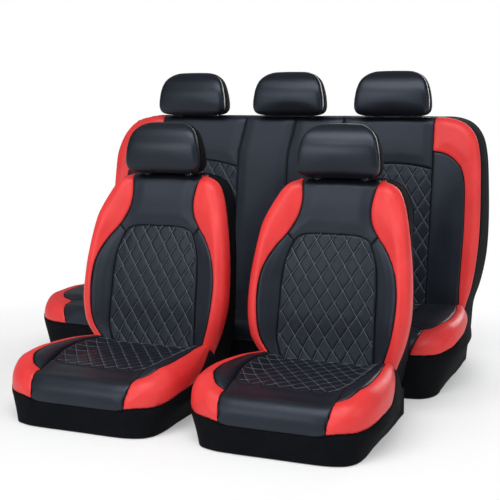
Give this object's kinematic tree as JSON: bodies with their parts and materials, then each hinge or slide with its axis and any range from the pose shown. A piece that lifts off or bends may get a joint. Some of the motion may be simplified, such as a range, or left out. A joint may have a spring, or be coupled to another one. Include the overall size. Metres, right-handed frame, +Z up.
{
  "type": "seat cover set",
  "caption": "Fitted red and black leatherette covers with quilted panels on front bucket seats and a split rear bench, with headrests that rise and backs that tilt.",
  "frame": {"origin": "on the floor, under the middle of the whole set's bounding box", "axes": "+Z up, the seats face -Y, +X is an occupant's left"},
  "size_m": [1.52, 1.395, 1.041],
  "materials": {
    "black_leatherette": "satin grained synthetic leather",
    "red_leatherette": "satin grained synthetic leather",
    "skirt_fabric": "matt knitted polyester",
    "foam": "open cell polyurethane foam",
    "webbing": "ribbed elastic webbing",
    "frame_steel": "black powder coat",
    "pin_steel": "zinc plated steel",
    "post_chrome": "polished chrome plate",
    "black_plastic": "moulded black plastic"
  },
  "bodies": {
    "seat_bases": {"driver_seat_frame": "frame_steel", "driver_cushion_foam": "foam", "driver_cushion_cover": "black_leatherette", "driver_skirt": "skirt_fabric", "driver_straps": "webbing", "driver_recliner_brackets": "frame_steel", "driver_recliner_pins": "pin_steel", "passenger_seat_frame": "frame_steel", "passenger_cushion_foam": "foam", "passenger_cushion_cover": "black_leatherette", "passenger_skirt": "skirt_fabric", "passenger_straps": "webbing", "passenger_recliner_brackets": "frame_steel", "passenger_recliner_pins": "pin_steel", "rear_seat_frame": "frame_steel", "rear_cushion_foam": "foam", "rear_cushion_cover": "black_leatherette", "rear_skirt": "skirt_fabric", "rear_straps": "webbing", "rear_hinge_brackets": "frame_steel", "rear_hinge_pins": "pin_steel", "strap_hooks": "pin_steel"},
    "driver_back": {"driver_back_frame": "frame_steel", "driver_headrest_guides": "black_plastic", "driver_back_cover": "black_leatherette", "driver_back_rear_panel": "skirt_fabric", "driver_back_foam": "foam", "driver_map_pocket": "skirt_fabric"},
    "passenger_back": {"passenger_back_frame": "frame_steel", "passenger_headrest_guides": "black_plastic", "passenger_back_cover": "black_leatherette", "passenger_back_rear_panel": "skirt_fabric", "passenger_back_foam": "foam", "passenger_map_pocket": "skirt_fabric"},
    "rear_back_wide": {"rear_back_wide_frame": "frame_steel", "rear_back_wide_headrest_guides": "black_plastic", "rear_back_wide_cover": "black_leatherette", "rear_back_wide_rear_panel": "skirt_fabric", "rear_back_wide_foam": "foam", "rear_zips": "black_plastic"},
    "rear_back_narrow": {"rear_back_narrow_frame": "frame_steel", "rear_back_narrow_headrest_guides": "black_plastic", "rear_back_narrow_cover": "black_leatherette", "rear_back_narrow_rear_panel": "skirt_fabric", "rear_back_narrow_foam": "foam"},
    "driver_headrest": {"driver_headrest_posts": "post_chrome", "driver_headrest_cover": "black_leatherette", "driver_headrest_foam": "foam"},
    "passenger_headrest": {"passenger_headrest_posts": "post_chrome", "passenger_headrest_cover": "black_leatherette", "passenger_headrest_foam": "foam"},
    "rear_left_headrest": {"rear_left_headrest_posts": "post_chrome", "rear_left_headrest_cover": "black_leatherette", "rear_left_headrest_foam": "foam"},
    "rear_centre_headrest": {"rear_centre_headrest_posts": "post_chrome", "rear_centre_headrest_cover": "black_leatherette", "rear_centre_headrest_foam": "foam"},
    "rear_right_headrest": {"rear_right_headrest_posts": "post_chrome", "rear_right_headrest_cover": "black_leatherette", "rear_right_headrest_foam": "foam"}
  },
  "joints": [
    {"name": "driver_recline", "type": "hinge", "parent": "seat_bases", "child": "driver_back", "pos_m": [0.4205, -0.14877, 0.128], "axis": [-1, 0, 0], "range_deg": [0, 18]},
    {"name": "passenger_recline", "type": "hinge", "parent": "seat_bases", "child": "passenger_back", "pos_m": [-0.1696, -0.14877, 0.128], "axis": [-1, 0, 0], "range_deg": [0, 18]},
    {"name": "rear_wide_fold", "type": "hinge", "parent": "seat_bases", "child": "rear_back_wide", "pos_m": [-0.265, 0.5415, 0.215], "axis": [1, 0, 0], "range_deg": [0, 20]},
    {"name": "rear_narrow_fold", "type": "hinge", "parent": "seat_bases", "child": "rear_back_narrow", "pos_m": [0.467, 0.5415, 0.215], "axis": [1, 0, 0], "range_deg": [0, 20]},
    {"name": "driver_headrest_height", "type": "slide", "parent": "driver_back", "child": "driver_headrest", "axis": [0, 0.1857, 0.9826], "range_m": [0, 0.06]},
    {"name": "passenger_headrest_height", "type": "slide", "parent": "passenger_back", "child": "passenger_headrest", "axis": [0, 0.1857, 0.9826], "range_m": [0, 0.06]},
    {"name": "rear_left_headrest_height", "type": "slide", "parent": "rear_back_narrow", "child": "rear_left_headrest", "axis": [0, 0.1271, 0.9919], "range_m": [0, 0.06]},
    {"name": "rear_centre_headrest_height", "type": "slide", "parent": "rear_back_wide", "child": "rear_centre_headrest", "axis": [0, 0.1271, 0.9919], "range_m": [0, 0.06]},
    {"name": "rear_right_headrest_height", "type": "slide", "parent": "rear_back_wide", "child": "rear_right_headrest", "axis": [0, 0.1271, 0.9919], "range_m": [0, 0.06]}
  ]
}
